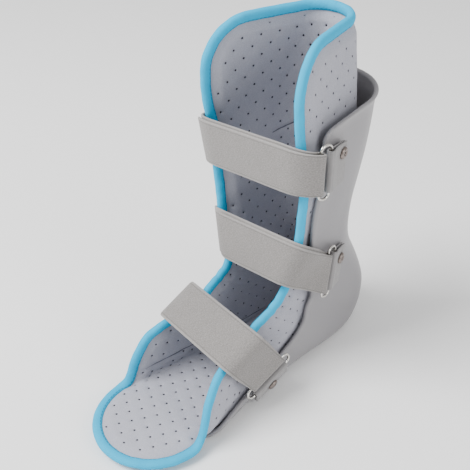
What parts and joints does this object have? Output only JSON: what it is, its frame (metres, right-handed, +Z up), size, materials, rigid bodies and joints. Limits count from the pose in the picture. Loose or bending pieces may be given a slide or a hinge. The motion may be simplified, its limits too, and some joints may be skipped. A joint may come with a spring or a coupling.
{
  "type": "foot fracture brace",
  "caption": "L-shaped foot and ankle brace: moulded shell, punched padded liner with bound edge, and folded straps run through wire rings.",
  "frame": {"origin": "on the flat sole, in the plane that halves the shell and the liner, under the front of the ankle", "axes": "+Z up from the sole to the liner's top, toes to -Y, the side with the rings at +X"},
  "size_m": [0.1278, 0.3012, 0.3128],
  "materials": {
    "moulded_shell": "satin grey moulded plastic",
    "padded_liner": "light grey padded knit, punched with small holes",
    "edge_binding": "light blue folded binding tape with a stitched inner edge",
    "strap_fabric": "warm grey brushed loop webbing, stitched at its free end",
    "tab_webbing": "grey webbing, fluted along the ring",
    "ring_wire": "bright plated wire",
    "rivet_metal": "dull domed metal"
  },
  "bodies": {
    "root": {"shell": "moulded_shell", "liner": "padded_liner", "binding": "edge_binding", "strap_calf": "strap_fabric", "strap_ankle": "strap_fabric", "strap_instep": "strap_fabric", "tab_calf": "tab_webbing", "tab_ankle": "tab_webbing", "tab_instep": "tab_webbing", "ring_calf": "ring_wire", "ring_ankle": "ring_wire", "ring_instep": "ring_wire", "rivet_tab_calf": "rivet_metal", "rivet_tab_ankle": "rivet_metal", "rivet_tab_instep": "rivet_metal", "rivet_strap_calf": "rivet_metal", "rivet_strap_ankle": "rivet_metal", "rivet_strap_instep": "rivet_metal"}
  },
  "joints": []
}
